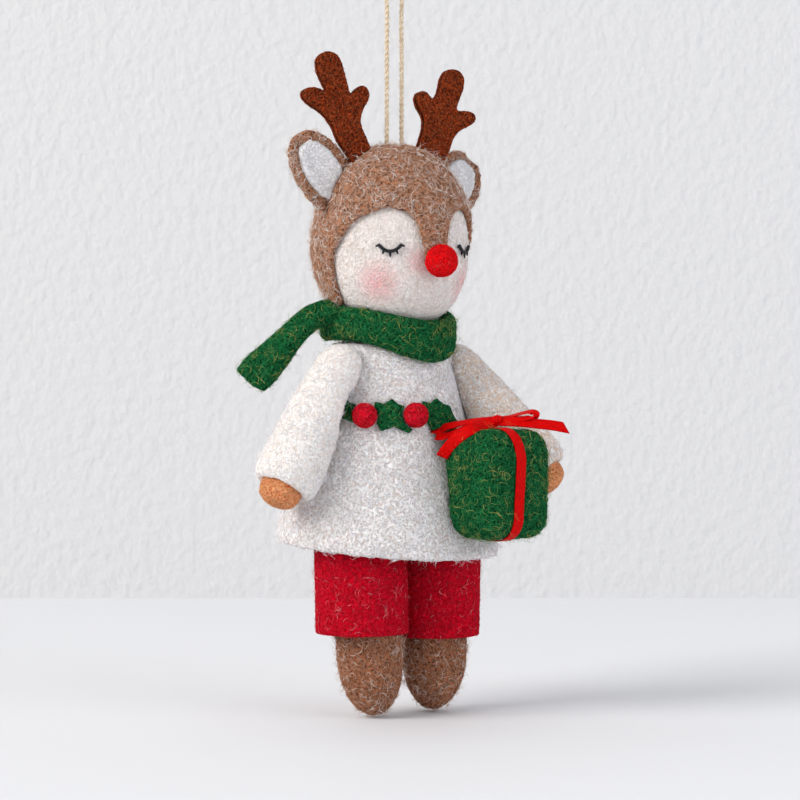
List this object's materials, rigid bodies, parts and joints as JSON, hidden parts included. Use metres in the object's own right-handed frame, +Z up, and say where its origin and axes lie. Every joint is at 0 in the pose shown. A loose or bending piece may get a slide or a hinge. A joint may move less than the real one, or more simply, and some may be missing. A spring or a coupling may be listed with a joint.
{
  "type": "hanging reindeer ornament",
  "caption": "Hanging felted-wool reindeer doll in a flared tunic and scarf, holding a ribbon-tied gift, on a twine loop.",
  "frame": {"origin": "inside the top of the twine loop, where a hook or a twig carries the ornament", "axes": "+Z up along the twine; the doll faces -Y and its right hand is on the -X side"},
  "size_m": [0.0786, 0.0616, 0.1911],
  "materials": {
    "jute": "two-ply beige twine, dry and hairy",
    "core_wool": "undyed wool",
    "tunic_wool": "off-white needle-felted wool",
    "cream_wool": "cream needle-felted wool",
    "brown_wool": "warm brown wool under pale curly fibres",
    "red_wool": "red felted wool",
    "black_thread": "black stitching thread",
    "ear_felt": "pale lavender-white felt",
    "antler_felt": "rust brown felt",
    "green_felt": "deep green wool felt with yellow fibres",
    "tan_wool": "tan orange wool",
    "red_felt": "red wool felt",
    "satin": "bright red satin ribbon"
  },
  "bodies": {
    "hanger": {"hanger_cord": "jute"},
    "doll": {"torso_core": "core_wool", "tunic": "tunic_wool", "head": "cream_wool", "hood": "brown_wool", "nose": "red_wool", "right_eye_stitch": "black_thread", "left_eye_stitch": "black_thread", "right_ear": "brown_wool", "left_ear": "brown_wool", "right_ear_lining": "ear_felt", "left_ear_lining": "ear_felt", "right_antler": "antler_felt", "left_antler": "antler_felt", "scarf_wrap": "green_felt", "holly_leaf_1": "green_felt", "holly_leaf_2": "green_felt", "holly_leaf_3": "green_felt", "berry_1": "red_wool", "berry_2": "red_wool", "left_sleeve": "tunic_wool", "left_hand": "tan_wool", "right_shoulder_stitch": "core_wool", "right_hip_stitch": "core_wool", "left_hip_stitch": "core_wool", "gift_box": "green_felt", "gift_ribbon": "satin", "bow_knot": "satin", "bow_right_loop": "satin", "bow_left_loop": "satin", "bow_right_tail": "satin", "bow_left_tail": "satin"},
    "right_arm": {"right_sleeve": "tunic_wool", "right_hand": "tan_wool"},
    "right_leg": {"right_leg": "brown_wool", "right_trouser_leg": "red_felt"},
    "left_leg": {"left_leg": "brown_wool", "left_trouser_leg": "red_felt"},
    "scarf_tail": {"scarf_tail": "green_felt"}
  },
  "joints": [
    {"name": "doll_swing", "type": "hinge", "parent": "hanger", "child": "doll", "pos_m": [0, 0, -0.0472], "axis": [1, 0, 0], "range_deg": [-30, 30]},
    {"name": "right_arm_swing", "type": "hinge", "parent": "doll", "child": "right_arm", "pos_m": [-0.0179, -0.0016, -0.1032], "axis": [1, 0, 0], "range_deg": [-25, 25]},
    {"name": "right_leg_swing", "type": "hinge", "parent": "doll", "child": "right_leg", "pos_m": [-0.0119, -0.0014, -0.1336], "axis": [1, 0, 0], "range_deg": [-7, 12]},
    {"name": "left_leg_swing", "type": "hinge", "parent": "doll", "child": "left_leg", "pos_m": [0.0119, -0.0014, -0.1336], "axis": [1, 0, 0], "range_deg": [-7, 12]},
    {"name": "scarf_tail_lift", "type": "hinge", "parent": "doll", "child": "scarf_tail", "pos_m": [-0.01783, 0.00574, -0.0903], "axis": [-0.2519, 0.7557, 0.6045], "range_deg": [-8, 30]}
  ]
}
